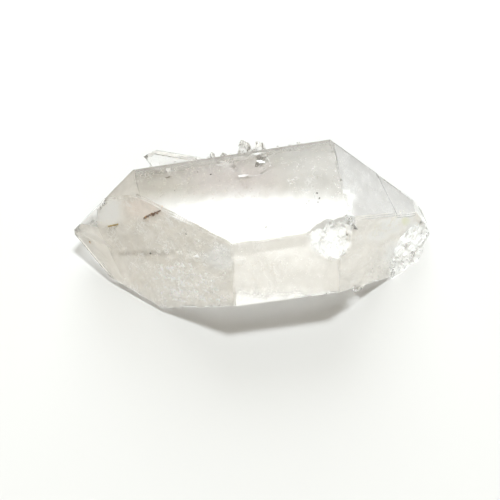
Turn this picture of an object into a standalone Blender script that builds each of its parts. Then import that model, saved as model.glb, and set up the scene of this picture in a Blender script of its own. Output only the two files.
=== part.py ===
"""Quartz point: one clear crystal with a tip at each end, lying on one of its prism faces.

The crystal lies along X with its better tip towards -X, and rests on Z = 0. It is a block cut by
its crystal faces. Each face is given by its azimuth about the long axis (0 is straight up, 90 is
the front, -Y), by its tilt towards the -X tip, and by its distance from the core point. Sizes are in
millimetres. Broken places, ledges and the small crystals on its back are cut from it or fused to it.
"""
import math
import random

import bmesh
import bpy
from mathutils import Matrix, Vector, noise

MM = 0.001
BLOCK = 150.0
SLICE_MERGE = 1e-5
SEED = 7

# Angles that quartz always has, and the small amounts by which this one's faces lean
RHOMB_TILT = 38.2
WORN_RHOMB_TILT = 36.6
PRISM_TAPER = 1.3
TOP_TAPER = 0.7

# Prism faces: azimuth, tilt, distance from the core
PRISM = {
    "top": (0, TOP_TAPER, 15.7),
    "front_upper": (60, PRISM_TAPER, 18.68),
    "front_lower": (120, PRISM_TAPER, 19.73),
    "bottom": (180, 0.0, 15.7),
    "back_lower": (240, PRISM_TAPER, 14.78),
    "back_upper": (300, PRISM_TAPER, 19.53),
}
# Faces of the -X tip, with the large one at the front, and of the +X end
TIP = {
    "tip_large": (60, WORN_RHOMB_TILT, 14.98),
    "tip_top": (0, WORN_RHOMB_TILT, 24.96),
    "tip_back": (300, RHOMB_TILT, 27.87),
    "tip_front_lower": (120, RHOMB_TILT, 26.23),
    "tip_bottom": (180, RHOMB_TILT, 29.6),
    "tip_back_lower": (240, RHOMB_TILT, 32.6),
    "tip_small": (60.1, 43.5, 18.45),
}
FAR_END = {
    "end_front": (60, -34.5, 31.87),
    "end_top": (0, -RHOMB_TILT, 32.34),
    "end_back": (300, -RHOMB_TILT, 35.76),
    "end_back_lower": (240, -RHOMB_TILT, 45.0),
    "end_blunt": (4.0, -58.8, 46.77),
    "end_bevel": (56.3, -40.2, 36.12),
}

# The notch in the large tip face: two flats that meet in a valley
TIP_NOTCH = ((70.6, 41.6, 17.5), (58.9, 40.6, 16.6))

# Growth ledges: the face, the height of the step, its place along the face and how far it slants
LEDGES = {
    "end_step": ("end_top", 0.35, 35.5, 17.8),
    "back_step": ("back_lower", 0.5, 22.0, -12.0),
}

# Broken places and lumps: how each one acts, its centre, its half sizes, how it is turned (azimuth,
# tilt, slant), its roughness, the size of its grains and its fineness
BROKEN = {
    "corner_chip": ("DIFFERENCE", (25.4, -14.8, 14.1), (7.6, 8.2, 3.1), (46.5, -17.6, 0), 0.6, 1.9, 5),
    "back_scar": ("DIFFERENCE", (45.4, 20.4, -1.8), (6.2, 6.2, 6.2), (0, 0, 0), 0.45, 1.8, 4),
    "top_scoop": ("DIFFERENCE", (9.6, 10.0, 15.8), (5.2, 3.2, 0.45), (0, 0, 8), 0.03, 2.0, 3),
    "end_lump": ("UNION", (55.0, -8.5, -12.5), (8.8, 7.6, 2.0), (60, -34.5, 25), 1.6, 2.2, 5),
    "edge_lump": ("UNION", (37.3, -17.5, -7.2), (4.0, 2.6, 1.7), (75, -34.5, 35), 0.8, 1.6, 3),
}
TERRACES = 5
UNEVEN = 0.42
LUMP_FOOT = 0.12

# Small crystals on the back, by the face that they grow from and the face above it
FACE_ABOVE = {"back_upper": "top", "back_lower": "back_upper"}
# Each one from root to tip: along X, below the face's upper edge, and above the face; then its radius
BACK_CRYSTALS = {
    "long": ("back_upper", (-1.6, 3.4, -2.4), (-18.2, 2.8, 3.2), 2.4),
    "bead_a": ("back_upper", (0.3, 1.4, -0.8), (0.0, 1.0, 1.6), 0.75),
    "bead_b": ("back_upper", (3.4, 1.3, -1.0), (2.6, 0.9, 1.3), 1.05),
    "upright_a": ("back_upper", (9.6, 1.9, -1.2), (8.6, 1.3, 4.1), 1.75),
    "upright_b": ("back_upper", (7.7, 2.9, -1.2), (9.9, 2.4, 3.0), 1.3),
    "white_a": ("back_upper", (13.7, 2.2, -1.2), (12.2, 1.6, 3.0), 1.5),
    "white_b": ("back_upper", (11.5, 3.2, -1.2), (14.6, 2.8, 2.5), 1.2),
    "low_a": ("back_lower", (10.5, 7.5, -2.0), (2.0, 7.0, 2.2), 2.1),
    "low_b": ("back_lower", (-9.5, 6.0, -1.4), (-12.4, 5.4, 2.6), 1.5),
    "low_c": ("back_lower", (14.6, 12.0, -1.2), (16.8, 11.4, 2.0), 1.2),
}
# Nearly sunk in the top face, from root to tip in the core's frame
TOP_CRYSTAL = ((0.9, 11.6, 14.9), (4.3, 10.0, 15.7), 1.25)
SMALL_TAPER = 0.96

# Crumbs along the upper back edge: along X, with the gap between two, and their radius
CRUMB_SPAN = (-16.5, 24.5)
CRUMB_GAP = 3.1
CRUMB_RADIUS = (0.35, 0.6)

CLEAR = (0.93, 0.92, 0.89, 1.0)


def direction(azimuth, tilt):
    """Outward normal of a face from its azimuth and its tilt to the -X tip, in degrees."""
    around = math.radians(azimuth)
    lean = math.radians(tilt)
    return Vector((-math.sin(lean), -math.cos(lean) * math.sin(around), math.cos(lean) * math.cos(around)))


def frame_of(azimuth, tilt, origin=(0.0, 0.0, 0.0)):
    """Matrix whose Z is a face's normal and whose X runs along the crystal."""
    z_axis = direction(azimuth, tilt)
    y_axis = z_axis.cross(Vector((1.0, 0.0, 0.0))).normalized()
    x_axis = y_axis.cross(z_axis)
    turn = Matrix((x_axis, y_axis, z_axis)).transposed().to_4x4()
    return Matrix.Translation(origin) @ turn


def slice_off(bm, point, normal):
    """Cut away what lies beyond a plane and close the cut."""
    every = bm.verts[:] + bm.edges[:] + bm.faces[:]
    result = bmesh.ops.bisect_plane(
        bm, geom=every, dist=SLICE_MERGE, plane_co=point, plane_no=normal, clear_outer=True)
    rim = [item for item in result["geom_cut"] if isinstance(item, bmesh.types.BMEdge)]
    if rim:
        bmesh.ops.contextual_create(bm, geom=rim)


def cut(bm, azimuth, tilt, distance):
    """Slice a shape along one of the crystal's faces."""
    normal = direction(azimuth, tilt)
    slice_off(bm, normal * distance, normal)


def finish(bm, name, collection, parent, matrix=Matrix.Identity(4)):
    """Turn a shape drawn in millimetres into an object in metres."""
    bmesh.ops.transform(bm, matrix=Matrix.Scale(MM, 4) @ matrix, verts=bm.verts)
    bmesh.ops.recalc_face_normals(bm, faces=bm.faces)
    mesh = bpy.data.meshes.new(name)
    bm.to_mesh(mesh)
    bm.free()
    item = bpy.data.objects.new(name, mesh)
    collection.objects.link(item)
    item.parent = parent
    return item


def as_cutter(item):
    """Leave a helper shape out of the renders."""
    item.hide_render = True
    item.display_type = "WIRE"
    return item


def combine(target, other, operation):
    """Cut another shape away from the crystal, or fuse it on."""
    boolean = target.modifiers.new(other.name, "BOOLEAN")
    boolean.operation = operation
    boolean.solver = "EXACT"
    boolean.object = other


def clear_quartz():
    """Clear, slightly milky glass."""
    material = bpy.data.materials.new("clear_quartz")
    material.use_nodes = True
    shader = material.node_tree.nodes["Principled BSDF"]
    shader.inputs["Base Color"].default_value = CLEAR
    shader.inputs["Roughness"].default_value = 0.05
    shader.inputs["Metallic"].default_value = 0.0
    shader.inputs["IOR"].default_value = 1.544
    shader.inputs["Transmission Weight"].default_value = 1.0
    return material


def crystal_body(collection, parent):
    """The main crystal: a block cut by every prism and tip face."""
    bm = bmesh.new()
    bmesh.ops.create_cube(bm, size=BLOCK)
    for faces in (PRISM, TIP, FAR_END):
        for azimuth, tilt, distance in faces.values():
            cut(bm, azimuth, tilt, distance)
    return finish(bm, "quartz_point", collection, parent)


def tip_notch(collection, parent):
    """Wedge that takes the step out of the large tip face."""
    bm = bmesh.new()
    bmesh.ops.create_cube(bm, size=BLOCK)
    for azimuth, tilt, distance in TIP_NOTCH:
        normal = direction(azimuth, tilt)
        slice_off(bm, normal * distance, -normal)
    return finish(bm, "tip_notch", collection, parent)


def ledge(name, face, step, along, slant, collection, parent):
    """Slab that lowers one side of a face by a small step."""
    azimuth, tilt, distance = {**PRISM, **FAR_END}[face]
    bm = bmesh.new()
    bmesh.ops.create_cube(bm, size=BLOCK)
    bmesh.ops.translate(bm, vec=(BLOCK / 2, 0.0, BLOCK / 2 - step), verts=bm.verts)
    bmesh.ops.rotate(bm, matrix=Matrix.Rotation(math.radians(slant), 3, "Z"), verts=bm.verts)
    place = frame_of(azimuth, tilt) @ Matrix.Translation((along, 0.0, distance))
    return finish(bm, name, collection, parent, place)


def rough_ball(name, centre, half, turned, rough, grain, detail, collection, parent):
    """Lumpy ball with the small facets of broken quartz, flat just above the floor."""
    azimuth, tilt, slant = turned
    bm = bmesh.new()
    bmesh.ops.create_icosphere(bm, subdivisions=detail, radius=1.0)
    for vert in bm.verts:
        out = vert.co.normalized()
        reach = 1.0 + UNEVEN * noise.noise(2.0 * out + Vector(centre))
        vert.co = Vector((out.x * half[0], out.y * half[1], out.z * half[2])) * reach
        place = vert.co + Vector(centre)
        nearest = noise.voronoi(place / grain)[0]
        bump = 0.6 * (nearest[1] - nearest[0]) + 0.5 * noise.noise(place / (2.2 * grain))
        vert.co += out * rough * math.floor(bump * TERRACES) / TERRACES
    matrix = frame_of(azimuth, tilt, centre) @ Matrix.Rotation(math.radians(slant), 4, "Z")
    bmesh.ops.transform(bm, matrix=matrix, verts=bm.verts)
    azimuth, tilt, distance = PRISM["bottom"]
    cut(bm, azimuth, tilt, distance - LUMP_FOOT)
    return finish(bm, name, collection, parent)


def on_face(face, along, below, above):
    """Point on a back face of the prism, measured from the face's upper edge."""
    azimuth, tilt, distance = PRISM[face]
    normal = direction(azimuth, tilt)
    upper_azimuth, upper_tilt, upper_distance = PRISM[FACE_ABOVE[face]]
    upper = direction(upper_azimuth, upper_tilt)
    share = normal.y * upper.z - normal.z * upper.y
    rest = distance - along * normal.x
    upper_rest = upper_distance - along * upper.x
    edge_y = (rest * upper.z - upper_rest * normal.z) / share
    edge_z = (upper_rest * normal.y - rest * upper.y) / share
    down = Vector((0.0, normal.z, -normal.y)).normalized()
    return Vector((along, edge_y, edge_z)) + down * below + normal * above


def small_crystal(name, root, tip, radius, draw, collection, parent):
    """Six-sided crystal with a pointed tip, from root to tip, its alternate tip faces larger."""
    reach = (tip - root).length
    bm = bmesh.new()
    bmesh.ops.create_cone(
        bm, cap_ends=True, segments=6, radius1=radius, radius2=radius * SMALL_TAPER, depth=reach,
        matrix=Matrix.Translation((0.0, 0.0, reach / 2)))
    rise = math.radians(RHOMB_TILT)
    for side in range(6):
        around = math.radians(60 * side + 30)
        flat = math.cos(rise)
        normal = Vector((flat * math.cos(around), flat * math.sin(around), math.sin(rise)))
        lower = radius * (1 + side % 2) * draw.uniform(0.0, 0.35)
        slice_off(bm, Vector((0.0, 0.0, reach - lower)), normal)
    turn = (tip - root).to_track_quat("Z", "Y").to_matrix().to_4x4()
    spin = Matrix.Rotation(draw.uniform(0.0, math.pi / 3), 4, "Z")
    return finish(bm, name, collection, parent, Matrix.Translation(root) @ turn @ spin)


def crumb(name, centre, radius, draw, collection, parent):
    """Tiny angular crystal stuck to the upper back edge."""
    bm = bmesh.new()
    bmesh.ops.create_icosphere(bm, subdivisions=1, radius=radius)
    stretch = (draw.uniform(0.8, 1.5), draw.uniform(0.7, 1.0), draw.uniform(0.7, 1.1))
    bmesh.ops.scale(bm, vec=stretch, verts=bm.verts)
    spin = Matrix.Rotation(draw.uniform(0.0, math.pi), 4, "Z")
    return finish(bm, name, collection, parent, Matrix.Translation(centre) @ spin)


def rest_on_origin(item, parent):
    """Move everything so that the middle of the crystal's footprint box is the origin."""
    bpy.context.view_layer.update()
    solid = item.evaluated_get(bpy.context.evaluated_depsgraph_get())
    points = [solid.matrix_world @ vert.co for vert in solid.data.vertices]
    lowest = [min(point[axis] for point in points) for axis in range(3)]
    highest = [max(point[axis] for point in points) for axis in range(3)]
    parent.location = (-(lowest[0] + highest[0]) / 2, -(lowest[1] + highest[1]) / 2, -lowest[2])
    bpy.context.view_layer.update()


def build():
    for item in list(bpy.data.objects):
        bpy.data.objects.remove(item, do_unlink=True)
    crystal = bpy.data.collections.new("quartz_point")
    cutters = bpy.data.collections.new("cutters")
    bpy.context.scene.collection.children.link(crystal)
    bpy.context.scene.collection.children.link(cutters)
    core = bpy.data.objects.new("core", None)
    crystal.objects.link(core)

    body = crystal_body(crystal, core)
    body.data.materials.append(clear_quartz())
    combine(body, as_cutter(tip_notch(cutters, core)), "DIFFERENCE")
    for name, values in LEDGES.items():
        combine(body, as_cutter(ledge(name, *values, cutters, core)), "DIFFERENCE")
    for name, (operation, *shape) in BROKEN.items():
        combine(body, as_cutter(rough_ball(name, *shape, cutters, core)), operation)

    draw = random.Random(SEED)
    for name, (face, root, tip, radius) in BACK_CRYSTALS.items():
        growth = small_crystal(name, on_face(face, *root), on_face(face, *tip), radius, draw, cutters, core)
        combine(body, as_cutter(growth), "UNION")
    root, tip, radius = TOP_CRYSTAL
    growth = small_crystal("top_bead", Vector(root), Vector(tip), radius, draw, cutters, core)
    combine(body, as_cutter(growth), "UNION")
    first, last = CRUMB_SPAN
    for number in range(int((last - first) / CRUMB_GAP) + 1):
        along = first + CRUMB_GAP * (number + draw.uniform(-0.2, 0.2))
        centre = on_face("back_upper", along, draw.uniform(0.3, 1.2), 0.1)
        growth = crumb(f"crumb_{number:02d}", centre, draw.uniform(*CRUMB_RADIUS), draw, cutters, core)
        combine(body, as_cutter(growth), "UNION")
    rest_on_origin(body, core)


build()
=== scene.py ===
"""Quartz point: the finish of a clear, slightly veiled crystal that lies on a pale floor.

The crystal's own surface is a copy of the solid with its flat parts merged. What lies inside it, such as
veils, cracks, iron stains and specks, is placed along the sight line of the view, bent as quartz bends it.
"""
import math
import random

import bmesh
import bpy
from mathutils import Matrix, Vector, noise
from mathutils.bvhtree import BVHTree


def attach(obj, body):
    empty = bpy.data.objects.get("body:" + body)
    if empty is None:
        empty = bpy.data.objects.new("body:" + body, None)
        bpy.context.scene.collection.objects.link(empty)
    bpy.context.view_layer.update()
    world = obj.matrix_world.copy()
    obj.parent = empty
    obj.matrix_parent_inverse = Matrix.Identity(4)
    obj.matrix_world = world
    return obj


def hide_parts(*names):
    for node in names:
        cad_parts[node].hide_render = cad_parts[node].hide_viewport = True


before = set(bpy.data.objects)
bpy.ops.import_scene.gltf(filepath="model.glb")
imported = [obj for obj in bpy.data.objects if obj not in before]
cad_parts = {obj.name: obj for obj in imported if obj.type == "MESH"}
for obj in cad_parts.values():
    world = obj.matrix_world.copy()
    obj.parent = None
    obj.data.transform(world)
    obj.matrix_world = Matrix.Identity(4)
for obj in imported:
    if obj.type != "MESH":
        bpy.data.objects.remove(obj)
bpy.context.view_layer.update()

bl_info = {
    "name": "Quartz Point",
    "version": (1, 0, 0),
    "blender": (4, 5, 0),
    "location": "View3D > Sidebar > Quartz",
    "description": "Builds a clear quartz crystal with its veils, cracks and iron stains",
    "category": "Add Mesh",
}

MM = 0.001
NODE = "quartz_point"
BODY = "root"
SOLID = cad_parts[NODE]
FLOOR_GAP = 0.1 * MM
KEY_PLACE = (0.09, 0.13, 1.0)
FILL_PLACE = (0.08, 0.80, 0.45)
CARD_PLACE = (-0.15, -1.25, 0.42)
# Noise vectors follow the clock unless they have a seed, which can't be 0
NOISE_SEED = 4

# The view: where the eye stands, which way it looks and how the picture is turned
EYE = Vector((-44.23, -106.64, 232.78)) * MM
VIEW_AZIMUTH = -20.93
VIEW_ELEVATION = 63.59
VIEW_ROLL = 10.48
VIEW_LENS = 64.8
SENSOR = 36.0
PICTURE = 500

# Welding distance, the start of a ray inside a face, the share of the way through the crystal that nothing
# passes, how deep a break still counts as part of its face, and the steps that look for a face's border
WELD = 1e-6
STEP_IN = 1e-6
MOST_WAY = 0.85
BREAK_DEPTH = 0.9 * MM
BORDER_STEPS = 8

# Each side of the crystal by the direction that its faces look in, azimuth (0 up, 90 front) and tilt towards
# the -X tip in degrees, then how frosted it is and the share of a lamp's light that it lets straight in
SIDES = {
    "top": (0, 0, 0.03, 0.95),
    "front_upper": (60, 0, 0.05, 0.9),
    "front_lower": (120, 0, 0.42, 0.0),
    "bottom": (180, 0, 0.34, 0.65),
    "back_lower": (240, 0, 0.34, 0.1),
    "back_upper": (300, 0, 0.3, 0.3),
    "tip_large": (60, 37, 0.04, 0.9),
    "notch": (71, 42, 0.5, 0.8),
    "tip_top": (0, 37, 0.05, 0.9),
    "tip_back": (300, 38, 0.3, 0.25),
    "tip_front_lower": (120, 38, 0.4, 0.0),
    "tip_bottom": (180, 38, 0.4, 0.0),
    "tip_back_lower": (240, 38, 0.4, 0.1),
    "end_front": (60, -35, 0.08, 0.8),
    "end_top": (0, -38, 0.06, 0.9),
    "end_back": (300, -38, 0.3, 0.25),
    "end_back_lower": (240, -38, 0.4, 0.1),
    "end_blunt": (4, -59, 0.2, 0.8),
}
# Broken faces, those of the end and where in mm the end starts, the painted shade on the downward faces that
# let no lamp light in and which slopes count, how far in degrees a side reaches, and what angle still counts
# as flat
BROKEN_SIDE = (0.2, 0.95)
END_SIDE = (0.35, 0.95)
END_START = 36.0
# Painted shade: the clear colour of downward faces is darkened so that the shadow below the crystal is deeper
UNDER_PAINTED_SHADE = 0.45
PAINTED_SHADE_SLOPE = -0.2
SIDE_REACH = 12.0
FLAT_ANGLE = 0.3
# Growth lines per metre along each axis: they are narrow along the crystal
LINE_SCALE = (2600.0, 160.0, 160.0)

# Tints of what lies inside, with the painted shade of the top mist's dark band
WHITE = (0.93, 0.92, 0.89)
GREY = (0.55, 0.52, 0.46)
PALE = (0.78, 0.77, 0.73)
PINK = (0.60, 0.53, 0.50)
BLUSH = (0.90, 0.78, 0.70)
BROWN = (0.46, 0.40, 0.31)
OLIVE = (0.55, 0.46, 0.16)
CREAM = (0.97, 0.94, 0.84)
ORANGE = (0.75, 0.38, 0.10)
GREEN = (0.62, 0.64, 0.30)
PALE_GREEN = (0.88, 0.89, 0.72)
HAZE = (0.895, 0.86, 0.80)
SNOW = (0.99, 0.99, 0.98)
PEARL = (0.98, 0.955, 0.91)
# Painted shade: dark grey-brown and rose tints for the top mist, standing in for the dark band that internal
# reflection gives
DUSK_PAINTED_SHADE = (0.485, 0.45, 0.395)
ROSE_PAINTED_SHADE = (0.53, 0.485, 0.455)
BLUSH_MILK = (0.96, 0.89, 0.83)
FAWN = (0.72, 0.68, 0.62)
IVORY = (1.0, 0.975, 0.93)
SMOKE = (0.66, 0.62, 0.56)
SLATE = (0.63, 0.615, 0.60)
# Painted shade: a darker stone tint for a place in the top mist's dark band
STONE_PAINTED_SHADE = (0.56, 0.54, 0.51)

# Veils of tiny flakes along healed cracks: the pixels of the picture at their four corners, the depths
# below the surface there in mm, or one for all four, how many flakes, their size in mm, how clumped they
# are and their tint
VEILS = {
    "tip_lower": ((122, 244), (232, 254), (231, 304), (138, 290),
        (0.8, 0.9, 0.9, 0.9), 4200, (0.09, 0.3), 0.08, WHITE),
    "tip_wisps": ((150, 266), (205, 262), (228, 303), (160, 301), 0.6, 2600, (0.14, 0.5), 0.22, SNOW),
    "tip_smoke": ((112, 232), (170, 238), (180, 262), (122, 262), 0.9, 450, (0.09, 0.24), 0.0, BROWN),
    "tip_middle": ((145, 212), (228, 246), (225, 264), (165, 252),
        (0.9, 1, 1, 0.9), 3200, (0.09, 0.28), 0.05, WHITE),
    "tip_panel": ((97, 201), (122, 205), (126, 222), (98, 226), 0.8, 380, (0.08, 0.22), -0.2, CREAM),
    "tip_blush": ((130, 203), (160, 208), (164, 222), (130, 226), 0.8, 320, (0.08, 0.2), -0.05, BLUSH),
    "top_pink": ((180, 168), (275, 163), (272, 197), (190, 200),
        (0.8, 0.9, 1, 1), 1700, (0.09, 0.26), 0.05, PINK),
    "top_grey": ((136, 174), (330, 144), (335, 188), (150, 200),
        (0.9, 0.9, 1, 1), 5200, (0.09, 0.28), 0.0, GREY),
    "top_end": ((280, 158), (345, 156), (354, 202), (292, 192),
        (0.8, 0.8, 0.9, 0.9), 1100, (0.09, 0.3), 0.12, WHITE),
    "top_spots": ((232, 212), (290, 215), (285, 236), (240, 238),
        (6, 6, 10, 10), 160, (0.1, 0.26), 0.2, GREY),
    "front_haze": ((238, 250), (324, 244), (334, 286), (238, 301), 0.8, 1300, (0.08, 0.24), 0.02, WHITE),
    "front_smoke": ((236, 262), (300, 262), (300, 276), (236, 280), 0.9, 400, (0.09, 0.24), 0.08, BROWN),
    "end_haze": ((338, 236), (390, 230), (382, 275), (342, 289), 0.8, 1600, (0.09, 0.28), -0.05, WHITE),
    "end_snow": ((372, 244), (395, 236), (388, 274), (368, 282),
        (1, 1.2, 1, 1), 1500, (0.12, 0.4), 0.05, WHITE),
    "end_top_haze": ((340, 160), (404, 196), (398, 212), (348, 208),
        (0.8, 0.8, 0.9, 0.9), 2400, (0.08, 0.26), 0.0, PALE),
    "end_band": ((372, 227), (406, 205), (403, 226), (373, 238), 0.8, 2200, (0.1, 0.28), -0.3, CREAM),
    "end_green": ((399, 218), (411, 210), (411, 224), (400, 228), 1.5, 260, (0.09, 0.22), -0.2, GREEN),
    "end_patch": ((404, 226), (418, 222), (421, 242), (407, 240), 0.7, 900, (0.1, 0.26), -0.3, WHITE),
    "chip_glitter": ((309, 233), (334, 230), (338, 262), (330, 262), 0.5, 900, (0.1, 0.32), -0.2, WHITE),
    "brown_rim": ((140, 219), (161, 208), (163, 213), (144, 223),
        (1.3, 1.3, 1.6, 1.6), 340, (0.08, 0.2), -0.3, ORANGE),
    "olive_rim": ((106, 226), (119, 221), (120, 226), (107, 231),
        (1.2, 1.2, 1.4, 1.4), 260, (0.08, 0.18), -0.3, OLIVE),
}
# Waves and clumps of the flakes in mm, how ragged the clumps are, and a flake's sides, depth, width and tone
WAVE = 0.9
CLUMP = 1.25
CLUMP_EDGE = 0.15
FLAKE_SIDES = 5
FLAKE_DEPTH = 0.12
FLAKE_WIDTH = (0.4, 0.9)
FLAKE_TONE = (0.9, 1.04)

# Broad mists, one behind each face that the view shows: their four corners as pixels, the depths there in
# mm, or one for all four, how many clouds across and down, how wide the rims fade across and down, the turn
# of the clouds in degrees, how much they hide at least and at most, how strong their white wisps are and
# their colour
RIM = (0.01, 0.01)
MISTS = {
    "tip": ((95, 180), (246, 238), (240, 318), (101, 306),
        (1.3, 1.3, 1.6, 1.6), (7, 5), RIM, 20, .5, .88, 1, HAZE),
    "tip_top": ((86, 204), (134, 160), (150, 200), (90, 216), 1.3, (3, 3), RIM, 0, .6, .8, .1, FAWN),
    "facet": ((66, 222), (98, 226), (126, 286), (80, 266), 1, (2, 3), RIM, 0, .6, .9, .1, PEARL),
    "front": ((226, 240), (344, 228), (346, 294), (226, 310), 1.3, (2, 1), RIM, 10, .42, .62, .4, IVORY),
    # The top mist is a milky haze whose dark grey-brown colour is painted shade for the band that internal
    # reflection darkens
    "top": ((118, 166), (362, 126), (366, 216), (132, 238),
        (1.5, 1.3, 1.5, 1.5), (6, 2), (.01, .34), 6, .62, .85, .3, DUSK_PAINTED_SHADE),
    "end": ((334, 208), (424, 190), (432, 268), (336, 302), 1.3, (5, 6), RIM, 55, .68, .94, .8, PEARL),
    "end_top": ((332, 130), (420, 192), (414, 226), (348, 224), 1.3, (5, 3), RIM, -35, .65, .85, .3, SLATE),
}
# Tinted places in the mists: which mist, middle and reach in pixels across and down, tint, and what they
# add to its cover
TINTED = (
    ("tip", (108, 211), (15, 13), SNOW, 0.5), ("tip", (143, 208), (18, 11), BLUSH_MILK, 0.2),
    ("tip", (142, 253), (26, 2.4), SMOKE, 0.0), ("tip", (188, 288), (48, 20), PEARL, 0.1),
    # In the top mist, the rose and stone places are darker painted shade in the same band, and the snow place
    # lower down is painted light where the bright floor shows through the top face
    ("tip", (220, 258), (16, 12), SNOW, 0.1), ("top", (238, 178), (52, 18), ROSE_PAINTED_SHADE, 0.0),
    ("top", (322, 160), (48, 40), STONE_PAINTED_SHADE, 0.1), ("top", (268, 227), (155, 30), SNOW, 0.12),
    ("front", (262, 321), (110, 26), IVORY, -0.65), ("front", (321, 246), (12, 10), SNOW, 0.5),
    ("end", (377, 235), (9, 6), SNOW, 0.4), ("end", (391, 226), (11, 7), SNOW, 0.4),
    ("end", (404, 216), (9, 7), SNOW, 0.4), ("end", (406, 221), (4, 4), PALE_GREEN, 0.1),
    ("end", (413, 236), (8, 14), SNOW, 0.4), ("end", (398, 256), (14, 14), SNOW, 0.3),
    ("end", (421, 218), (6, 16), HAZE, 0.2), ("end_top", (346, 206), (7, 18), SNOW, -0.45),
)
# Bruised places just below broken faces: the two ends of the box that they lie in and their depth in mm,
# then the same as for a mist, from the clouds on
BRUISES = {
    "end": ((36, -30, 0), (60, 30, 40), 0.25, (9, 9), RIM, 0, .85, 1, .5, SNOW),
    "chip": ((8, -22, 12), (30, 4, 30.6), 0.25, (9, 9), RIM, 0, .3, .9, .5, SNOW),
}
# Distance of a bruise from the surface in mm, and how its corners are pulled back inside
BRUISE_MARGIN = 0.08
BRUISE_PULL = 0.03
# Steps of a mist across and down, its waves, their size, its thickness and its distance from the surface in
# mm, how it is pulled back inside, how much light it glows with and how much of a lamp's light passes it
MIST_STEPS = (72, 48)
MIST_WAVE = 0.3
MIST_WAVE_SIZE = 4
MIST_THICK = 0.03
MIST_MARGIN = 0.15
MIST_PULL = 0.05
MIST_GLOW = 0.3
LAMP_PASS = 0.85
# Clouds, their veins and the patches that the veins keep to: scale, detail and distortion of each noise,
# and what is used of it
SOFT_CLOUD, SOFT_RANGE = (1.0, 5.0, 0.6), (0.25, 0.75)
VEIN_CLOUD, VEIN_WIDTH = (1.9, 5.0, 1.8), 0.035
PATCH_CLOUD, PATCH_RANGE = (1.4, 2.0, 0.0), (0.45, 0.62)
# Ragged rims of the tinted places: their grain in pixels, the most that they shift as a share of the reach
# and in pixels, and where they end as a multiple of the reach
RAGGED_GRAIN = 9
RAGGED_SHARE = 0.35
RAGGED_PIXELS = 2.5
TINT_END = 1.5

# Iron stains: first and last pixel, thickness, depth below the surface in mm and colour
STAINS = {
    "brown_streak": ((143.6, 218.1), (160.0, 210.9), 0.36, 1.2, (0.075, 0.034, 0.012)),
    "olive_streak": ((108.0, 226.6), (117.8, 224.3), 0.22, 1.0, (0.22, 0.15, 0.03)),
    "tip_spot": ((89.6, 241.5), (90.2, 243.0), 0.22, 0.6, (0.28, 0.16, 0.06)),
    "top_streak": ((164.0, 178.2), (172.0, 176.4), 0.14, 1.5, (0.06, 0.04, 0.025)),
}
# Gap between a stain's lumps as a share of its thickness, how much lighter its second colour is, and how
# many steps of the grid that melts the lumps go into its thickness
STAIN_GAP = 0.55
STAIN_EDGE = 3.5
MELT_STEPS = 5
# Dark specks: pixel and size in mm
SPECKS = (
    ((186, 234), 0.42), ((150.5, 253.4), 0.59), ((183, 170), 0.31),
    ((197.6, 172), 0.36), ((210.8, 174.2), 0.48), ((174.5, 190.5), 0.22),
    ((255, 222), 0.28), ((266, 227), 0.34), ((219.5, 181), 0.21),
    ((317, 193), 0.48), ((319.5, 198), 0.48), ((318, 202), 0.36),
    ((309, 201), 0.34), ((306.5, 203.5), 0.28), ((204, 177.5), 0.17),
    ((228, 188), 0.17), ((201.5, 208.5), 0.17), ((154, 186), 0.17),
)
SPECK_DEPTH = 0.7
# Bright cracks seen edge on: pixels along each, its depth and half width in mm
THREADS = {
    "front_line": (((249, 267.5), (258, 267.2), (268, 265.4), (277, 262.8)), 1.5, 0.09),
    "front_dash": (((252, 264.5), (260, 265.2)), 1.6, 0.06),
    "edge_dash": (((221, 250.4), (227, 249.6), (232, 250.8)), 0.6, 0.13),
    "edge_dash_b": (((235, 259.8), (242, 259.4), (246, 260.2)), 0.6, 0.12),
    "edge_post": (((242, 260), (243, 264), (242, 269)), 1.2, 0.08),
    "scoop_edge": (((265.2, 156.6), (268.6, 159.0), (270.6, 163.0), (271.4, 166.6)), 0.4, 0.09),
    "scoop_foot": (((248, 176.4), (257, 175.2), (266, 172.6), (272, 169.4)), 0.5, 0.06),
    "arc_a": (((308, 161.4), (318, 162.6), (328, 166.0), (334, 169.8)), 1.5, 0.08),
    "arc_b": (((309, 168.0), (318, 169.4), (325, 174.2), (329, 180.0)), 2.0, 0.09),
    "arc_c": (((280, 163.6), (290, 162.0), (300, 163.4)), 1.5, 0.07),
    "column": (((350.5, 183), (351.4, 190), (350.2, 197), (352.4, 203), (351.6, 209)), 1.0, 0.1),
    "black_crack": (((301, 190.6), (306, 189.8), (311, 190.6)), 1.2, 0.1),
    "post_a": (((313.4, 192), (315.0, 196), (315.8, 200)), 1.2, 0.12),
    "chip_tail": (((337, 263), (338.6, 272), (339.2, 281), (339.8, 289)), 0.5, 0.12),
    "chip_rim": (((306, 235.6), (314, 240.6), (322, 248.0), (331, 259.0)), 0.35, 0.12),
    "wisp_a": (((166, 273), (172, 277), (180, 281), (186, 282)), 0.6, 0.16),
    "wisp_b": (((186, 279), (190, 274), (194, 274.5)), 0.6, 0.17),
    "wisp_c": (((171, 289), (172.5, 294), (175, 299)), 0.6, 0.12),
    "wisp_d": (((180, 284), (187, 291), (192, 300)), 0.6, 0.1),
    "wisp_e": (((144, 287.6), (147, 284.6)), 0.6, 0.13),
    "wisp_f": (((209, 258), (214, 261), (219, 258)), 0.6, 0.12),
}
# How crooked a crack is in pixels and in mm of depth, its widths as shares and how thin its ends are
THREAD_JAG = 0.35
THREAD_SINK = 0.15
THREAD_WIDTH = (0.45, 1.3)
THREAD_END = 0.25
# White spot: pixel, half size in mm and depth
SPOT = ((197.0, 256.4), 0.6, 0.7)


def face_direction(azimuth, tilt):
    """Outward direction of a crystal face from its azimuth and its tilt, in degrees."""
    around = math.radians(azimuth)
    lean = math.radians(tilt)
    across = math.cos(lean)
    return Vector((-math.sin(lean), -across * math.sin(around), across * math.cos(around)))


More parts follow.
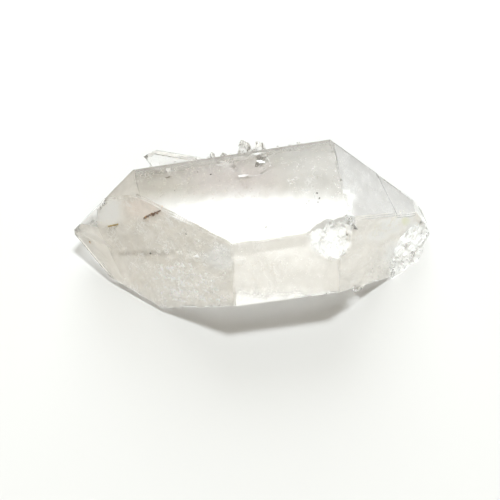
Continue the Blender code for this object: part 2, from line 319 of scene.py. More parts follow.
def side_of(normal):
    """Frosting of a place that looks in a direction, and the lamp light that it lets straight in."""
    best, least = BROKEN_SIDE, math.radians(SIDE_REACH)
    for azimuth, tilt, frost, passing in SIDES.values():
        apart = normal.angle(face_direction(azimuth, tilt), math.pi)
        if apart < least:
            best, least = (frost, passing), apart
    return best


def view_turn():
    """Rotation of the camera: columns are its right, up and backward directions."""
    level = Matrix.Rotation(math.radians(VIEW_AZIMUTH), 3, "Z")
    nod = Matrix.Rotation(math.radians(90 - VIEW_ELEVATION), 3, "X")
    roll = Matrix.Rotation(math.radians(VIEW_ROLL), 3, "Z")
    return level @ nod @ roll


def sight_line(pixel):
    """Direction from the eye through a pixel of the picture."""
    focal = VIEW_LENS / SENSOR * PICTURE
    across = pixel[0] - PICTURE / 2
    down = pixel[1] - PICTURE / 2
    return (view_turn() @ Vector((across, -down, -focal))).normalized()


def bent(line, normal, ior):
    """Direction of a sight line after it enters clear quartz."""
    share = 1 / ior
    cosine = -normal.dot(line)
    rest = math.sqrt(max(0.0, 1 - share * share * (1 - cosine * cosine)))
    return (line * share + normal * (share * cosine - rest)).normalized()


def welded(mesh):
    """Copy of a mesh for editing, with its doubled corners welded."""
    bm = bmesh.new()
    bm.from_mesh(mesh)
    bmesh.ops.remove_doubles(bm, verts=bm.verts, dist=WELD)
    return bm


class Surface:
    """The solid's surface, for finding where a pixel of the picture meets it."""

    def __init__(self, context):
        self.ior = context.scene.quartz_crystal.ior
        bm = welded(SOLID.data)
        self.tree = BVHTree.FromBMesh(bm)
        bm.free()

    def skin(self, pixel):
        """Point on the surface behind a pixel, and the surface's normal there."""
        place, normal, _face, _far = self.tree.ray_cast(EYE, sight_line(pixel))
        if place is None:
            raise ValueError(f"pixel {pixel} misses the crystal")
        return place, normal

    def inside(self, pixel, depth):
        """Point that shows at a pixel, at a depth in mm inside the crystal where it is thick enough."""
        place, normal = self.skin(pixel)
        line = bent(sight_line(pixel), normal, self.ior)
        _place, _normal, _face, far = self.tree.ray_cast(place + line * STEP_IN, line)
        return place + line * min(depth * MM, MOST_WAY * far)

    def shows(self, pixel, near, facing):
        """True if a pixel shows the face that passes a point and looks in a direction, or a break in it."""
        place, normal, _face, _far = self.tree.ray_cast(EYE, sight_line(pixel))
        if place is None or abs((place - near).dot(facing)) > BREAK_DEPTH:
            return False
        return side_of(normal) in (BROKEN_SIDE, side_of(facing))

    def behind(self, pixel, window, depth):
        """Point inside the crystal that shows at a pixel through the face that shows at a window pixel.

        A pixel beside that face is first moved towards the window, onto the face, and the second result is
        then True.
        """
        near, normal = self.skin(window)
        moved = not self.shows(pixel, near, normal)
        if moved:
            good, bad = 0.0, 1.0
            for _step in range(BORDER_STEPS):
                middle = (good + bad) / 2
                trial = [a + (b - a) * middle for a, b in zip(window, pixel)]
                if self.shows(trial, near, normal):
                    good = middle
                else:
                    bad = middle
            pixel = [a + (b - a) * good for a, b in zip(window, pixel)]
        line = sight_line(pixel)
        place = EYE + line * ((near - EYE).dot(normal) / line.dot(normal))
        way = bent(line, normal, self.ior)
        _place, facing, _face, far = self.tree.ray_cast(place + way * STEP_IN, way)
        if facing is not None and facing.dot(way) < 0:
            place += way * (far + 2 * STEP_IN)
            far = self.tree.ray_cast(place, way)[3]
        return place + way * min(depth * MM, MOST_WAY * (far or 0.0)), moved

    def sees(self, pixel):
        """True if the crystal is behind a pixel."""
        return self.tree.ray_cast(EYE, sight_line(pixel))[0] is not None

    def holds(self, place, margin):
        """True if a place is inside the crystal by a margin."""
        near, normal, _face, far = self.tree.find_nearest(place)
        return far > margin and (place - near).dot(normal) < 0


def choose(item):
    """Make one object the only selected and active one."""
    bpy.ops.object.select_all(action="DESELECT")
    item.select_set(True)
    bpy.context.view_layer.objects.active = item


def belong(piece, material):
    """Give a piece its material and tie it to the crystal."""
    piece.data.materials.clear()
    piece.data.materials.append(material)
    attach(piece, BODY)


def new_material(name):
    """Node material with its nodes, its links, its Principled shader and its output."""
    material = bpy.data.materials.new(name)
    material.use_nodes = True
    nodes = material.node_tree.nodes
    return material, nodes, material.node_tree.links, nodes["Principled BSDF"], nodes["Material Output"]


def fill(node, values):
    """Set constants on a node's inputs."""
    for key, value in values.items():
        node.inputs[key].default_value = value
    return node


def object_place(nodes):
    """Object coordinates of a material."""
    return nodes.new("ShaderNodeTexCoord").outputs["Object"]


def stored(nodes, name, kind="Fac"):
    """What a mesh holds under a name, as an output for a material."""
    node = nodes.new("ShaderNodeAttribute")
    node.attribute_name = name
    return node.outputs[kind]


def mapped(corners, depths, across, down):
    """Pixel and depth at a place on a four-cornered patch, given by two shares from 0 to 1."""
    depths = depths if isinstance(depths, tuple) else (depths,) * 4
    top = [a + (b - a) * across for a, b in zip(corners[0], corners[1])]
    low = [a + (b - a) * across for a, b in zip(corners[3], corners[2])]
    near = depths[0] + (depths[1] - depths[0]) * across
    far = depths[3] + (depths[2] - depths[3]) * across
    pixel = [a + (b - a) * down for a, b in zip(top, low)]
    return pixel, near + (far - near) * down


def tinted(pixel, colour, spots):
    """Colour of a mist at a pixel, and what is added to its cover there, from its tinted places."""
    tint = Vector(colour)
    cover = 0.0
    ragged = noise.noise(Vector((*pixel, 0.0)) / RAGGED_GRAIN)
    for middle, reach, spot_tint, more in spots:
        apart = math.hypot(*((a - b) / size for a, b, size in zip(pixel, middle, reach)))
        apart += ragged * min(RAGGED_SHARE, RAGGED_PIXELS / min(reach))
        share = min(1.0, max(0.0, TINT_END - apart))
        share = share * share * (3 - 2 * share)
        tint = tint.lerp(Vector(spot_tint), share)
        cover += more * share
    return tint, cover


def flake_shape():
    """One flake: a flat five-sided chip with a low point on each side, as its corners and faces."""
    bpy.ops.object.select_all(action="DESELECT")
    bpy.ops.mesh.primitive_cone_add(
        vertices=FLAKE_SIDES, radius1=1.0, radius2=0.0, depth=FLAKE_DEPTH, end_fill_type="NOTHING")
    item = bpy.context.object
    bpy.ops.object.mode_set(mode="EDIT")
    bpy.ops.mesh.select_all(action="SELECT")
    bpy.ops.mesh.duplicate()
    middle = (0.0, 0.0, -FLAKE_DEPTH / 2)
    bpy.ops.transform.rotate(value=math.pi, orient_axis="X", center_override=middle)
    bpy.ops.mesh.select_all(action="SELECT")
    bpy.ops.mesh.remove_doubles(threshold=0.02)
    bpy.ops.mesh.normals_make_consistent(inside=False)
    bpy.ops.object.mode_set(mode="OBJECT")
    corners = [vert.co.copy() for vert in item.data.vertices]
    faces = [tuple(face.vertices) for face in item.data.polygons]
    bpy.data.objects.remove(item, do_unlink=True)
    return corners, faces


def store(mesh, name, domain, numbers):
    """Store one number, or four for a tint, for each point or face of a mesh."""
    kind, key = ("FLOAT_COLOR", "color") if name == "tint" else ("FLOAT", "value")
    mesh.attributes.new(name, kind, domain).data.foreach_set(key, numbers)


def joined(name, places, shape, tints):
    """One mesh object of many copies of a shape, each with its own matrix and tint."""
    corners, faces = shape
    every, all_faces, colours = [], [], []
    for matrix, tint in zip(places, tints):
        start = len(every)
        every.extend(matrix @ corner for corner in corners)
        all_faces.extend(tuple(start + index for index in face) for face in faces)
        colours.extend([tint] * len(faces))
    mesh = bpy.data.meshes.new(name)
    mesh.from_pydata(every, [], all_faces)
    store(mesh, "tint", "FACE", [part for tint in colours for part in (*tint, 1.0)])
    item = bpy.data.objects.new(name, mesh)
    bpy.context.collection.objects.link(item)
    return item


def whiten(item):
    """Tint a whole piece white."""
    store(item.data, "tint", "FACE", [1.0] * (4 * len(item.data.polygons)))


def rough_lump(radius, stretch, seed, detail=2):
    """Small rough lump with its middle at the origin, as a new object."""
    bpy.ops.object.select_all(action="DESELECT")
    bpy.ops.mesh.primitive_ico_sphere_add(subdivisions=detail, radius=1.0)
    item = bpy.context.object
    for vert in item.data.vertices:
        swell = 1.0 + 0.55 * noise.noise(vert.co * 1.7 + Vector((seed, 0.0, 0.0)))
        vert.co = Vector(part * radius * size * swell for part, size in zip(vert.co, stretch))
    return item


def cloud_group():
    """Shared node group: how much a mist hides and how white it is, fading out towards its patch's rim."""
    group = bpy.data.node_groups.get("cloud_cover")
    if group:
        return group
    group = bpy.data.node_groups.new("cloud_cover", "ShaderNodeTree")
    for way, kind, names in (
            ("INPUT", "NodeSocketFloat", ("Least", "Most", "More", "Wisps")),
            ("INPUT", "NodeSocketVector", ("Clouds", "Patch", "Fade")),
            ("OUTPUT", "NodeSocketFloat", ("Share", "White"))):
        for name in names:
            group.interface.new_socket(name, in_out=way, socket_type=kind)
    nodes = group.nodes
    links = group.links
    source = nodes.new("NodeGroupInput")
    sink = nodes.new("NodeGroupOutput")

    def compute(operation, *values):
        node = nodes.new("ShaderNodeMath")
        node.operation = operation
        for socket, value in zip(node.inputs, values):
            if isinstance(value, bpy.types.NodeSocket):
                links.new(value, socket)
            else:
                socket.default_value = value
        return node.outputs["Value"]

    def spread(value, low, high, start=0.0, end=1.0):
        node = nodes.new("ShaderNodeMapRange")
        node.interpolation_type = "SMOOTHSTEP"
        fill(node, {"From Min": low, "From Max": high, "To Min": start, "To Max": end})
        links.new(value, node.inputs["Value"])
        return node.outputs["Result"]

    def cloud(scale, detail, distortion):
        node = nodes.new("ShaderNodeTexNoise")
        fill(node, {"Scale": scale, "Detail": detail, "Roughness": 0.6, "Distortion": distortion})
        links.new(source.outputs["Clouds"], node.inputs["Vector"])
        return node.outputs["Fac"]

    soft = spread(cloud(*SOFT_CLOUD), *SOFT_RANGE)
    far = compute("ABSOLUTE", compute("SUBTRACT", cloud(*VEIN_CLOUD), 0.5))
    line = spread(far, 0.0, VEIN_WIDTH, 1.0, 0.0)
    wisp = compute("MULTIPLY", line, spread(cloud(*PATCH_CLOUD), *PATCH_RANGE))
    white = compute("MULTIPLY", wisp, source.outputs["Wisps"])
    clamped = compute("MINIMUM", compute("ADD", soft, white), 1.0)
    reach = compute("SUBTRACT", source.outputs["Most"], source.outputs["Least"])
    cloudy = compute("ADD", source.outputs["Least"], compute("MULTIPLY", clamped, reach))
    cloudy = compute("ADD", cloudy, source.outputs["More"])
    cover = compute("MINIMUM", compute("MAXIMUM", cloudy, 0.0), 1.0)
    split = nodes.new("ShaderNodeSeparateXYZ")
    links.new(source.outputs["Patch"], split.inputs["Vector"])
    width = nodes.new("ShaderNodeSeparateXYZ")
    links.new(source.outputs["Fade"], width.inputs["Vector"])
    rims = []
    for axis in ("X", "Y"):
        other = compute("SUBTRACT", 1.0, split.outputs[axis])
        near = compute("MINIMUM", split.outputs[axis], other)
        rims.append(compute("DIVIDE", near, width.outputs[axis]))
    fade = spread(compute("MINIMUM", *rims), 0.0, 1.0)
    links.new(compute("MULTIPLY", cover, fade), sink.inputs["Share"])
    links.new(white, sink.inputs["White"])
    return group


def let_lamps_through(nodes, links, shader, output, passing):
    """Let a share of a lamp's light go straight through a surface, so that it isn't lost in it."""
    path = nodes.new("ShaderNodeLightPath")
    share = nodes.new("ShaderNodeMath")
    share.operation = "MULTIPLY"
    links.new(path.outputs["Is Shadow Ray"], share.inputs[0])
    if isinstance(passing, bpy.types.NodeSocket):
        links.new(passing, share.inputs[1])
    else:
        share.inputs[1].default_value = passing
    straight = nodes.new("ShaderNodeBsdfTransparent")
    mix = nodes.new("ShaderNodeMixShader")
    links.new(share.outputs["Value"], mix.inputs["Fac"])
    links.new(shader.outputs["BSDF"], mix.inputs[1])
    links.new(straight.outputs["BSDF"], mix.inputs[2])
    links.new(mix.outputs["Shader"], output.inputs["Surface"])


def mist_material(name, clouds, rim, turn, least, most, wisps):
    """Thin milky layer that hides more where its clouds are thick."""
    material, nodes, links, shader, output = new_material(name)
    patch = nodes.new("ShaderNodeUVMap")
    place = fill(nodes.new("ShaderNodeMapping"), {
        "Rotation": (0.0, 0.0, math.radians(turn)), "Scale": (*clouds, 1.0),
        "Location": (len(name) * 1.7, turn * 0.13, most * 9)})
    links.new(patch.outputs["UV"], place.inputs["Vector"])
    cloud = nodes.new("ShaderNodeGroup")
    cloud.node_tree = cloud_group()
    fill(cloud, {"Least": least, "Most": most, "Wisps": wisps, "Fade": (*rim, 1.0)})
    links.new(place.outputs["Vector"], cloud.inputs["Clouds"])
    links.new(patch.outputs["UV"], cloud.inputs["Patch"])
    links.new(stored(nodes, "cover"), cloud.inputs["More"])
    links.new(cloud.outputs["Share"], shader.inputs["Alpha"])
    tone = nodes.new("ShaderNodeMix")
    tone.data_type = "RGBA"
    links.new(cloud.outputs["White"], tone.inputs["Factor"])
    links.new(stored(nodes, "tint", "Color"), tone.inputs[6])
    tone.inputs[7].default_value = (*SNOW, 1.0)
    links.new(tone.outputs[2], shader.inputs["Base Color"])
    fill(shader, {
        "Roughness": 1.0, "IOR": 1.4, "Transmission Weight": MIST_GLOW, "Specular IOR Level": 0.2})
    let_lamps_through(nodes, links, shader, output, LAMP_PASS)
    return material


def as_layer(piece, *look):
    """Thicken a sheet into a closed layer and give it its cloudy finish."""
    thick = piece.modifiers.new("thick", "SOLIDIFY")
    thick.thickness = MIST_THICK * MM
    choose(piece)
    bpy.ops.object.modifier_apply(modifier="thick")
    piece.visible_diffuse = False
    belong(piece, mist_material(piece.name, *look))


def tint_material(name, roughness, metal):
    """Finish whose colour comes from each face's own tint, mottled a little."""
    material, nodes, links, shader, output = new_material(name)
    mottle = fill(nodes.new("ShaderNodeTexNoise"), {"Scale": 900.0})
    links.new(object_place(nodes), mottle.inputs["Vector"])
    spread = fill(nodes.new("ShaderNodeMapRange"), {"To Min": 0.8, "To Max": 1.1})
    links.new(mottle.outputs["Fac"], spread.inputs["Value"])
    shade = nodes.new("ShaderNodeVectorMath")
    shade.operation = "SCALE"
    links.new(stored(nodes, "tint", "Color"), shade.inputs[0])
    links.new(spread.outputs["Result"], shade.inputs["Scale"])
    links.new(shade.outputs["Vector"], shader.inputs["Base Color"])
    fill(shader, {"Roughness": roughness, "Metallic": metal})
    let_lamps_through(nodes, links, shader, output, LAMP_PASS)
    return material


def stain_material(name, colour, edge_colour):
    """Earthy iron mineral of two mottled colours."""
    material, nodes, links, shader, _output = new_material(name)
    grain = fill(nodes.new("ShaderNodeTexNoise"), {"Scale": 2600.0, "Detail": 4.0})
    links.new(object_place(nodes), grain.inputs["Vector"])
    ramp = nodes.new("ShaderNodeValToRGB")
    for stop, at, tone in zip(ramp.color_ramp.elements, (0.45, 0.75), (colour, edge_colour)):
        stop.position = at
        stop.color = (*tone, 1.0)
    links.new(grain.outputs["Fac"], ramp.inputs["Fac"])
    links.new(ramp.outputs["Color"], shader.inputs["Base Color"])
    bump = fill(nodes.new("ShaderNodeBump"), {"Distance": 0.05 * MM})
    links.new(grain.outputs["Fac"], bump.inputs["Height"])
    links.new(bump.outputs["Normal"], shader.inputs["Normal"])
    shader.inputs["Roughness"].default_value = 0.7
    return material


def quartz_material(settings):
    """Clear quartz: glass with each face's own frosting, painted shade on the downward faces, a faint smoky
    absorption and fine growth lines.
    """
    material, nodes, links, shader, output = new_material("clear_quartz_surface")
    # The clear colour is scaled by painted shade that darkens the downward faces
    clear = nodes.new("ShaderNodeVectorMath")
    clear.operation = "SCALE"
    clear.inputs[0].default_value = settings.clear_colour
    links.new(stored(nodes, "dim"), clear.inputs["Scale"])
    links.new(clear.outputs["Vector"], shader.inputs["Base Color"])
    fill(shader, {"IOR": settings.ior, "Transmission Weight": 1.0})
    links.new(stored(nodes, "frost"), shader.inputs["Roughness"])
    lines = fill(nodes.new("ShaderNodeTexNoise"), {"Scale": 1.0, "Detail": 3.0})
    stretch = fill(nodes.new("ShaderNodeMapping"), {"Scale": LINE_SCALE})
    links.new(object_place(nodes), stretch.inputs["Vector"])
    links.new(stretch.outputs["Vector"], lines.inputs["Vector"])
    relief = fill(nodes.new("ShaderNodeBump"), {"Distance": settings.line_relief})
    links.new(stored(nodes, "lined"), relief.inputs["Strength"])
    links.new(lines.outputs["Fac"], relief.inputs["Height"])
    links.new(relief.outputs["Normal"], shader.inputs["Normal"])
    smoke = fill(nodes.new("ShaderNodeVolumeAbsorption"), {
        "Color": (*settings.smoke_colour, 1.0), "Density": settings.smoke_density})
    links.new(smoke.outputs["Volume"], output.inputs["Volume"])
    let_lamps_through(nodes, links, shader, output, stored(nodes, "passing"))
    return material


def hue(name, description, default):
    """Property for a colour."""
    return bpy.props.FloatVectorProperty(
        name=name, description=description, subtype="COLOR", default=default, min=0.0, max=1.0)


def span(name, description, default):
    """Property for the side of a square."""
    return bpy.props.FloatProperty(
        name=name, description=description, default=default, min=0.01, unit="LENGTH")


def watts(name, description, default):
    """Property for the power of a lamp."""
    return bpy.props.FloatProperty(
        name=name, description=description, default=default, min=0.0, unit="POWER")


class QuartzSettings(bpy.types.PropertyGroup):
    """Sizes and colours of the crystal."""

    ior: bpy.props.FloatProperty(
        name="Refraction", description="How strongly the quartz bends light", default=1.544, min=1.0, max=2.0)
    clear_colour: hue("Clear colour", "Tint of the clear quartz", (0.99, 0.985, 0.975))
    smoke_colour: hue(
        "Smoke colour", "Tint that deepens along the way through the quartz", (0.80, 0.76, 0.70))
    smoke_density: bpy.props.FloatProperty(
        name="Smoke density", description="How fast the smoke tint deepens, per metre", default=9.0, min=0.0)
    line_relief: bpy.props.FloatProperty(
        name="Growth lines", description="Height of the fine growth lines", default=0.002 * MM, min=0.0,
        precision=6, unit="LENGTH")


class InsideSettings(bpy.types.PropertyGroup):
    """What lies inside the crystal."""

    seed: bpy.props.IntProperty(name="Seed", description="Changes how the flakes and stains fall", default=4)
    density: bpy.props.FloatProperty(
        name="Density", description="Share of the full number of flakes", default=1.0, min=0.05, max=3.0)


class StageSettings(bpy.types.PropertyGroup):
    """The floor and the light."""

    floor_colour: hue("Floor", "Colour of the floor", (0.77, 0.765, 0.75))
    floor_size: span("Floor size", "Side of the floor", 3.0)
    room_colour: hue("Room colour", "Colour of the light from all around", (1.0, 0.94, 0.82))
    room_light: bpy.props.FloatProperty(
        name="Room light", description="Strength of the light from all around", default=0.345, min=0.0)
    key_light: watts("Key light", "Power of the soft light overhead", 6.95)
    key_size: span("Key size", "Side of the soft light overhead", 0.14)
    fill_light: watts("Back fill", "Power of the wide light behind", 6.1)
    fill_size: span("Fill size", "Side of the wide light behind", 0.6)
    card_light: watts("Front card", "Power of the low card in front", 4.85)
    card_size: span("Card size", "Side of the low card in front", 1.1)
    key_colour: hue("Key colour", "Colour of the soft light overhead", (0.92, 0.97, 1.0))


class QUARTZ_OT_crystal(bpy.types.Operator):
    """Build the crystal's clear surface from the solid"""

    bl_idname = "quartz.crystal"
    bl_label = "Crystal"

    def execute(self, context):
        settings = context.scene.quartz_crystal
        piece = bpy.data.objects.new("crystal", SOLID.data.copy())
        context.collection.objects.link(piece)
        choose(piece)
        bpy.ops.object.mode_set(mode="EDIT")
        bpy.ops.mesh.select_all(action="SELECT")
        bpy.ops.mesh.remove_doubles(threshold=WELD)
        bpy.ops.mesh.dissolve_limited(angle_limit=math.radians(FLAT_ANGLE))
        bpy.ops.object.mode_set(mode="OBJECT")
        bpy.ops.object.shade_flat()
        values = {"frost": [], "passing": [], "dim": [], "lined": []}
        for face in piece.data.polygons:
            look = side_of(face.normal)
            values["lined"].append(0.0 if look == BROKEN_SIDE else 1.0)
            if face.center.x > END_START * MM and look == BROKEN_SIDE:
                look = END_SIDE
            values["frost"].append(look[0])
            values["passing"].append(look[1])
            # Downward faces that let no lamp light in get painted shade, a darker clear colour that deepens
            # the shadow below
            painted_under = face.normal.z < PAINTED_SHADE_SLOPE and look[1] == 0.0
            values["dim"].append(UNDER_PAINTED_SHADE if painted_under else 1.0)
        for name, numbers in values.items():
            store(piece.data, name, "FACE", numbers)
        belong(piece, quartz_material(settings))
        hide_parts(NODE)
        return {"FINISHED"}


class QUARTZ_OT_veils(bpy.types.Operator):
    """Scatter the veils of tiny flakes along the healed cracks"""

    bl_idname = "quartz.veils"
    bl_label = "Veils"

    def execute(self, context):
        settings = context.scene.quartz_inside
        surface = Surface(context)
        noise.seed_set(NOISE_SEED)
        shape = flake_shape()
        material = tint_material("veil_flakes", 0.3, 0.0)
        for number, (name, (*corners, depths, count, size, clump, tint)) in enumerate(VEILS.items()):
            draw = random.Random(settings.seed + number)
            places, tints = [], []
            shift = Vector((draw.uniform(0, 50), draw.uniform(0, 50), 0.0))
            while len(places) < count * settings.density:
                pixel, depth = mapped(corners, depths, draw.random(), draw.random())
                if not surface.sees(pixel):
                    continue
                place = surface.inside(pixel, depth)
                where = place / MM
                cloud = noise.fractal(where / CLUMP + shift, 1.0, 2.0, 4)
                if cloud < clump + draw.uniform(-CLUMP_EDGE, CLUMP_EDGE):
                    continue
                sink = WAVE * noise.noise_vector(where / (3 * CLUMP) + shift) * MM
                reach = draw.uniform(*size) * (0.6 + cloud) * 0.5 * MM
                facing = Vector([draw.gauss(0, 1) for _axis in range(3)])
                turn = facing.to_track_quat("Z", "Y").to_matrix()
                grow = Matrix.Diagonal((reach, reach * draw.uniform(*FLAKE_WIDTH), reach))
                if not surface.holds(place + sink, reach):
                    continue
                places.append(Matrix.Translation(place + sink) @ (turn @ grow).to_4x4())
                tints.append([part * draw.uniform(*FLAKE_TONE) for part in tint])
            piece = joined("veil_" + name, places, shape, tints)
            piece.visible_diffuse = False
            belong(piece, material)
        return {"FINISHED"}


class QUARTZ_OT_mists(bpy.types.Operator):
    """Hang the broad mists inside the crystal"""

    bl_idname = "quartz.mists"
    bl_label = "Mists"

    def execute(self, context):
        surface = Surface(context)
        noise.seed_set(NOISE_SEED)
        across, down = MIST_STEPS
        for number, (name, (*corners, depths, clouds, rim, turn, least, most, wisps, tone)) in enumerate(
                MISTS.items()):
            bpy.ops.object.select_all(action="DESELECT")
            bpy.ops.mesh.primitive_grid_add(x_subdivisions=across, y_subdivisions=down, size=1.0)
            piece = context.object
            piece.name = "mist_" + name
            shift = Vector((3.1 * number, 0.0, 0.0))
            window, middle = mapped(corners, depths, 0.5, 0.5)
            core = surface.inside(window, middle)
            tints, covers, beside = [], [], []
            spots = [spot[1:] for spot in TINTED if spot[0] == name]
            for vert in piece.data.vertices:
                pixel, depth = mapped(corners, depths, vert.co.x + 0.5, 0.5 - vert.co.y)
                tint, cover = tinted(pixel, tone, spots)
                tints.extend((*tint, 1.0))
                place, moved = surface.behind(pixel, window, depth)
                covers.append(cover)
                beside.append(moved)
                wave = noise.noise_vector(place / (MIST_WAVE_SIZE * MM) + shift)
                place += MIST_WAVE * wave * MM
                while not surface.holds(place, MIST_MARGIN * MM):
                    place = place.lerp(core, MIST_PULL)
                vert.co = place
            store(piece.data, "tint", "POINT", tints)
            store(piece.data, "cover", "POINT", covers)
            bm = bmesh.new()
            bm.from_mesh(piece.data)
            spare = [face for face in bm.faces if all(beside[vert.index] for vert in face.verts)]
            bmesh.ops.delete(bm, geom=spare, context="FACES")
            bm.to_mesh(piece.data)
            bm.free()
            as_layer(piece, clouds, rim, turn, least, most, wisps)
            bpy.ops.object.shade_smooth()
        return {"FINISHED"}


class QUARTZ_OT_bruises(bpy.types.Operator):
    """Whiten the broken places just below their skin"""

    bl_idname = "quartz.bruises"
    bl_label = "Bruises"

    def execute(self, context):
        surface = Surface(context)
        for name, (low, high, depth, *look, tint) in BRUISES.items():
            core = Vector([(a + b) / 2 for a, b in zip(low, high)]) * MM
            bm = welded(SOLID.data)
            bm.normal_update()
            spare = []
            for face in bm.faces:
                middle = face.calc_center_median() / MM
                inside = all(a < part < b for a, part, b in zip(low, middle, high))
                if not inside or side_of(face.normal) != BROKEN_SIDE:
                    spare.append(face)
            sunk = {vert: vert.co - vert.normal * depth * MM for vert in bm.verts}
            bmesh.ops.delete(bm, geom=spare, context="FACES")
            for vert in bm.verts:
                if surface.holds(sunk[vert], BRUISE_MARGIN * MM):
                    vert.co = sunk[vert]
                else:
                    vert.co = vert.co.lerp(core, BRUISE_PULL)
            bmesh.ops.subdivide_edges(bm, edges=bm.edges, cuts=1, use_grid_fill=True)
            layer = bm.loops.layers.uv.new("UVMap")
            for face in bm.faces:
                for loop in face.loops:
                    place = loop.vert.co
                    share = [(part / MM - a) / (b - a) for part, a, b in zip(place, low, high)]
                    loop[layer].uv = ((share[0] + share[1]) / 2, (share[1] + share[2]) / 2)
            mesh = bpy.data.meshes.new("bruise_" + name)
            bm.to_mesh(mesh)
            bm.free()
            piece = bpy.data.objects.new("bruise_" + name, mesh)
            context.collection.objects.link(piece)
            count = len(mesh.vertices)
            store(mesh, "tint", "POINT", [*tint, 1.0] * count)
            store(mesh, "cover", "POINT", [0.0] * count)
            as_layer(piece, *look)
        return {"FINISHED"}


class QUARTZ_OT_stains(bpy.types.Operator):
    """Lay the iron stains and the dark specks just below the surface"""

    bl_idname = "quartz.stains"
    bl_label = "Stains and specks"

    def execute(self, context):
        settings = context.scene.quartz_inside
        surface = Surface(context)
        draw = random.Random(settings.seed)
        for name, (first, last, thick, depth, colour) in STAINS.items():
            start = surface.inside(first, depth)
            end = surface.inside(last, depth)
            count = max(3, int((end - start).length / (thick * MM * STAIN_GAP)))
            lumps = []
            for step in range(count + 1):
                share = step / count
                swell = 0.35 + 0.65 * math.sin(math.pi * (0.12 + 0.76 * share))
                radius = thick * MM * swell * draw.uniform(0.55, 1.45)
                lump = rough_lump(radius, (1.0, 1.0, 0.55), draw.uniform(0, 90))
                side = Vector([draw.uniform(-1, 1) for _axis in range(3)]) * 0.5 * thick * MM
                lump.location = start.lerp(end, share) + side
                lumps.append(lump)
            self.fuse(name, lumps, thick)
            edge_colour = tuple(min(1.0, part * STAIN_EDGE) for part in colour)
            belong(context.object, stain_material(name, colour, edge_colour))
        black = stain_material("dark_speck", (0.012, 0.010, 0.008), (0.05, 0.035, 0.02))
        lumps = []
        for pixel, size in SPECKS:
            lump = rough_lump(size * MM * 0.5, (1.0, 0.8, 0.7), draw.uniform(0, 90))
            lump.location = surface.inside(pixel, SPECK_DEPTH)
            lumps.append(lump)
        self.join("dark_specks", lumps)
        belong(context.object, black)
        return {"FINISHED"}

    def join(self, name, lumps):
        """Join lumps into one object with its place in its mesh."""
        bpy.ops.object.select_all(action="DESELECT")
        for lump in lumps:
            lump.select_set(True)
        bpy.context.view_layer.objects.active = lumps[0]
        bpy.ops.object.join()
        bpy.ops.object.transform_apply(location=True, rotation=True, scale=True)
        bpy.context.object.name = name
        bpy.ops.object.shade_smooth()

    def fuse(self, name, lumps, thick):
        """Join lumps and melt them into one closed body."""
        self.join(name, lumps)
        melt = bpy.context.object.modifiers.new("melt", "REMESH")
        melt.mode = "VOXEL"
        melt.voxel_size = thick * MM / MELT_STEPS
        melt.use_smooth_shade = True
        bpy.ops.object.modifier_apply(modifier="melt")


class QUARTZ_OT_threads(bpy.types.Operator):
    """Draw the bright cracks that are seen edge on, and the white spot"""

    bl_idname = "quartz.threads"
    bl_label = "Bright cracks"

    def execute(self, context):
        surface = Surface(context)
        draw = random.Random(context.scene.quartz_inside.seed)
        material = tint_material("bright_crack", 0.25, 0.3)
        for name, (pixels, depth, half) in THREADS.items():
            curve = bpy.data.curves.new(name, "CURVE")
            curve.dimensions = "3D"
            curve.bevel_depth = half * MM
            curve.bevel_resolution = 0
            curve.use_fill_caps = True
            spline = curve.splines.new("NURBS")
            count = 4 * (len(pixels) - 1)
            spline.points.add(count)
            for step in range(count + 1):
                share = step / count * (len(pixels) - 1)
                low = min(int(share), len(pixels) - 2)
                pixel = [a + (b - a) * (share - low) for a, b in zip(pixels[low], pixels[low + 1])]
                jag = [part + draw.uniform(-THREAD_JAG, THREAD_JAG) for part in pixel]
                sink = depth + draw.uniform(-THREAD_SINK, THREAD_SINK)
                spline.points[step].co = (*surface.inside(jag, sink), 1.0)
                taper = THREAD_END if step in (0, count) else 1.0
                spline.points[step].radius = draw.uniform(*THREAD_WIDTH) * taper
            spline.order_u = 3
            spline.use_endpoint_u = True
            item = bpy.data.objects.new(name, curve)
            context.collection.objects.link(item)
            choose(item)
            bpy.ops.object.convert(target="MESH")
            item = context.object
            whiten(item)
            belong(item, material)
        pixel, size, depth = SPOT
        spot = rough_lump(size * MM, (1.0, 0.6, 0.5), 3.0, 3)
        spot.location = surface.inside(pixel, depth)
        bpy.ops.object.transform_apply(location=True, rotation=True, scale=True)
        spot.name = "white_spot"
        whiten(spot)
        belong(spot, material)
        return {"FINISHED"}


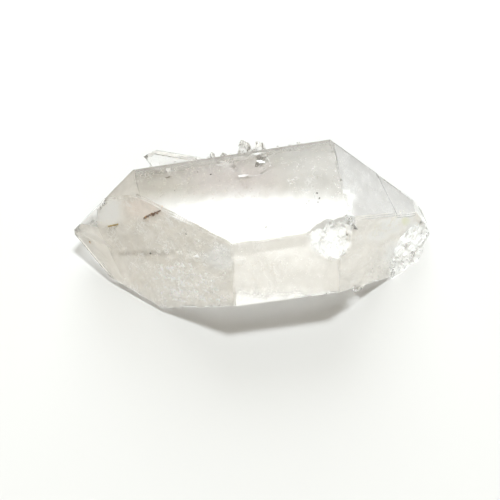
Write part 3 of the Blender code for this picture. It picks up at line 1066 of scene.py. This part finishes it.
class QUARTZ_OT_stage(bpy.types.Operator):
    """Set up the floor, the soft light and the camera"""

    bl_idname = "quartz.stage"
    bl_label = "Stage"

    def execute(self, context):
        settings = context.scene.quartz_stage
        bpy.ops.object.select_all(action="DESELECT")
        bpy.ops.mesh.primitive_plane_add(size=settings.floor_size, location=(0.0, 0.0, -FLOOR_GAP))
        floor = context.object
        floor.name = "floor"
        material, _nodes, _links, shader, _output = new_material("floor_paper")
        fill(shader, {
            "Base Color": (*settings.floor_colour, 1.0), "Roughness": 0.6, "Specular IOR Level": 0.2})
        floor.data.materials.append(material)
        for name, place, size, power, colour in (
                ("key", KEY_PLACE, settings.key_size, settings.key_light, settings.key_colour),
                ("back_fill", FILL_PLACE, settings.fill_size, settings.fill_light, settings.key_colour),
                ("front_card", CARD_PLACE, settings.card_size, settings.card_light, settings.room_colour)):
            self.light(context, name, place, size, power, colour)
        world = bpy.data.worlds.new("studio")
        world.use_nodes = True
        fill(world.node_tree.nodes["Background"], {
            "Color": (*settings.room_colour, 1.0), "Strength": settings.room_light})
        context.scene.world = world
        context.scene.view_settings.view_transform = "Standard"
        data = bpy.data.cameras.new("camera")
        data.lens = VIEW_LENS
        data.sensor_width = SENSOR
        data.clip_start = 0.01
        camera = bpy.data.objects.new("camera", data)
        context.collection.objects.link(camera)
        camera.matrix_world = Matrix.Translation(EYE) @ view_turn().to_4x4()
        context.scene.camera = camera
        return {"FINISHED"}

    def light(self, context, name, place, size, power, colour):
        """Add a square soft light that faces the crystal."""
        place = Vector(place)
        data = bpy.data.lights.new(name, "AREA")
        data.size = size
        data.energy = power
        data.color = colour
        lamp = bpy.data.objects.new(name, data)
        context.collection.objects.link(lamp)
        turn = (-place).to_track_quat("-Z", "Y").to_matrix().to_4x4()
        lamp.matrix_world = Matrix.Translation(place) @ turn
        lamp.visible_transmission = False
        lamp.visible_glossy = name == "key"


class QUARTZ_PT_panel(bpy.types.Panel):
    """Lists the crystal's pieces"""

    bl_idname = "QUARTZ_PT_panel"
    bl_label = "Quartz Point"
    bl_space_type = "VIEW_3D"
    bl_region_type = "UI"
    bl_category = "Quartz"

    def draw(self, context):
        for name in GROUPS:
            box = self.layout.box()
            group = getattr(context.scene, name)
            for key in group.__annotations__:
                box.prop(group, key)
        for operator in OPERATORS:
            self.layout.operator(operator.bl_idname)


GROUPS = {"quartz_crystal": QuartzSettings, "quartz_inside": InsideSettings, "quartz_stage": StageSettings}
OPERATORS = (
    QUARTZ_OT_crystal, QUARTZ_OT_mists, QUARTZ_OT_bruises, QUARTZ_OT_veils, QUARTZ_OT_stains,
    QUARTZ_OT_threads, QUARTZ_OT_stage)


def register():
    for name, group in GROUPS.items():
        bpy.utils.register_class(group)
        setattr(bpy.types.Scene, name, bpy.props.PointerProperty(type=group))
    for operator in OPERATORS:
        bpy.utils.register_class(operator)
    bpy.utils.register_class(QUARTZ_PT_panel)


def unregister():
    bpy.utils.unregister_class(QUARTZ_PT_panel)
    for operator in reversed(OPERATORS):
        bpy.utils.unregister_class(operator)
    for name, group in GROUPS.items():
        delattr(bpy.types.Scene, name)
        bpy.utils.unregister_class(group)


def main():
    register()
    bpy.ops.quartz.crystal()
    bpy.ops.quartz.mists()
    bpy.ops.quartz.bruises()
    bpy.ops.quartz.veils()
    bpy.ops.quartz.stains()
    bpy.ops.quartz.threads()
    bpy.ops.quartz.stage()


if __name__ == "__main__":
    main()
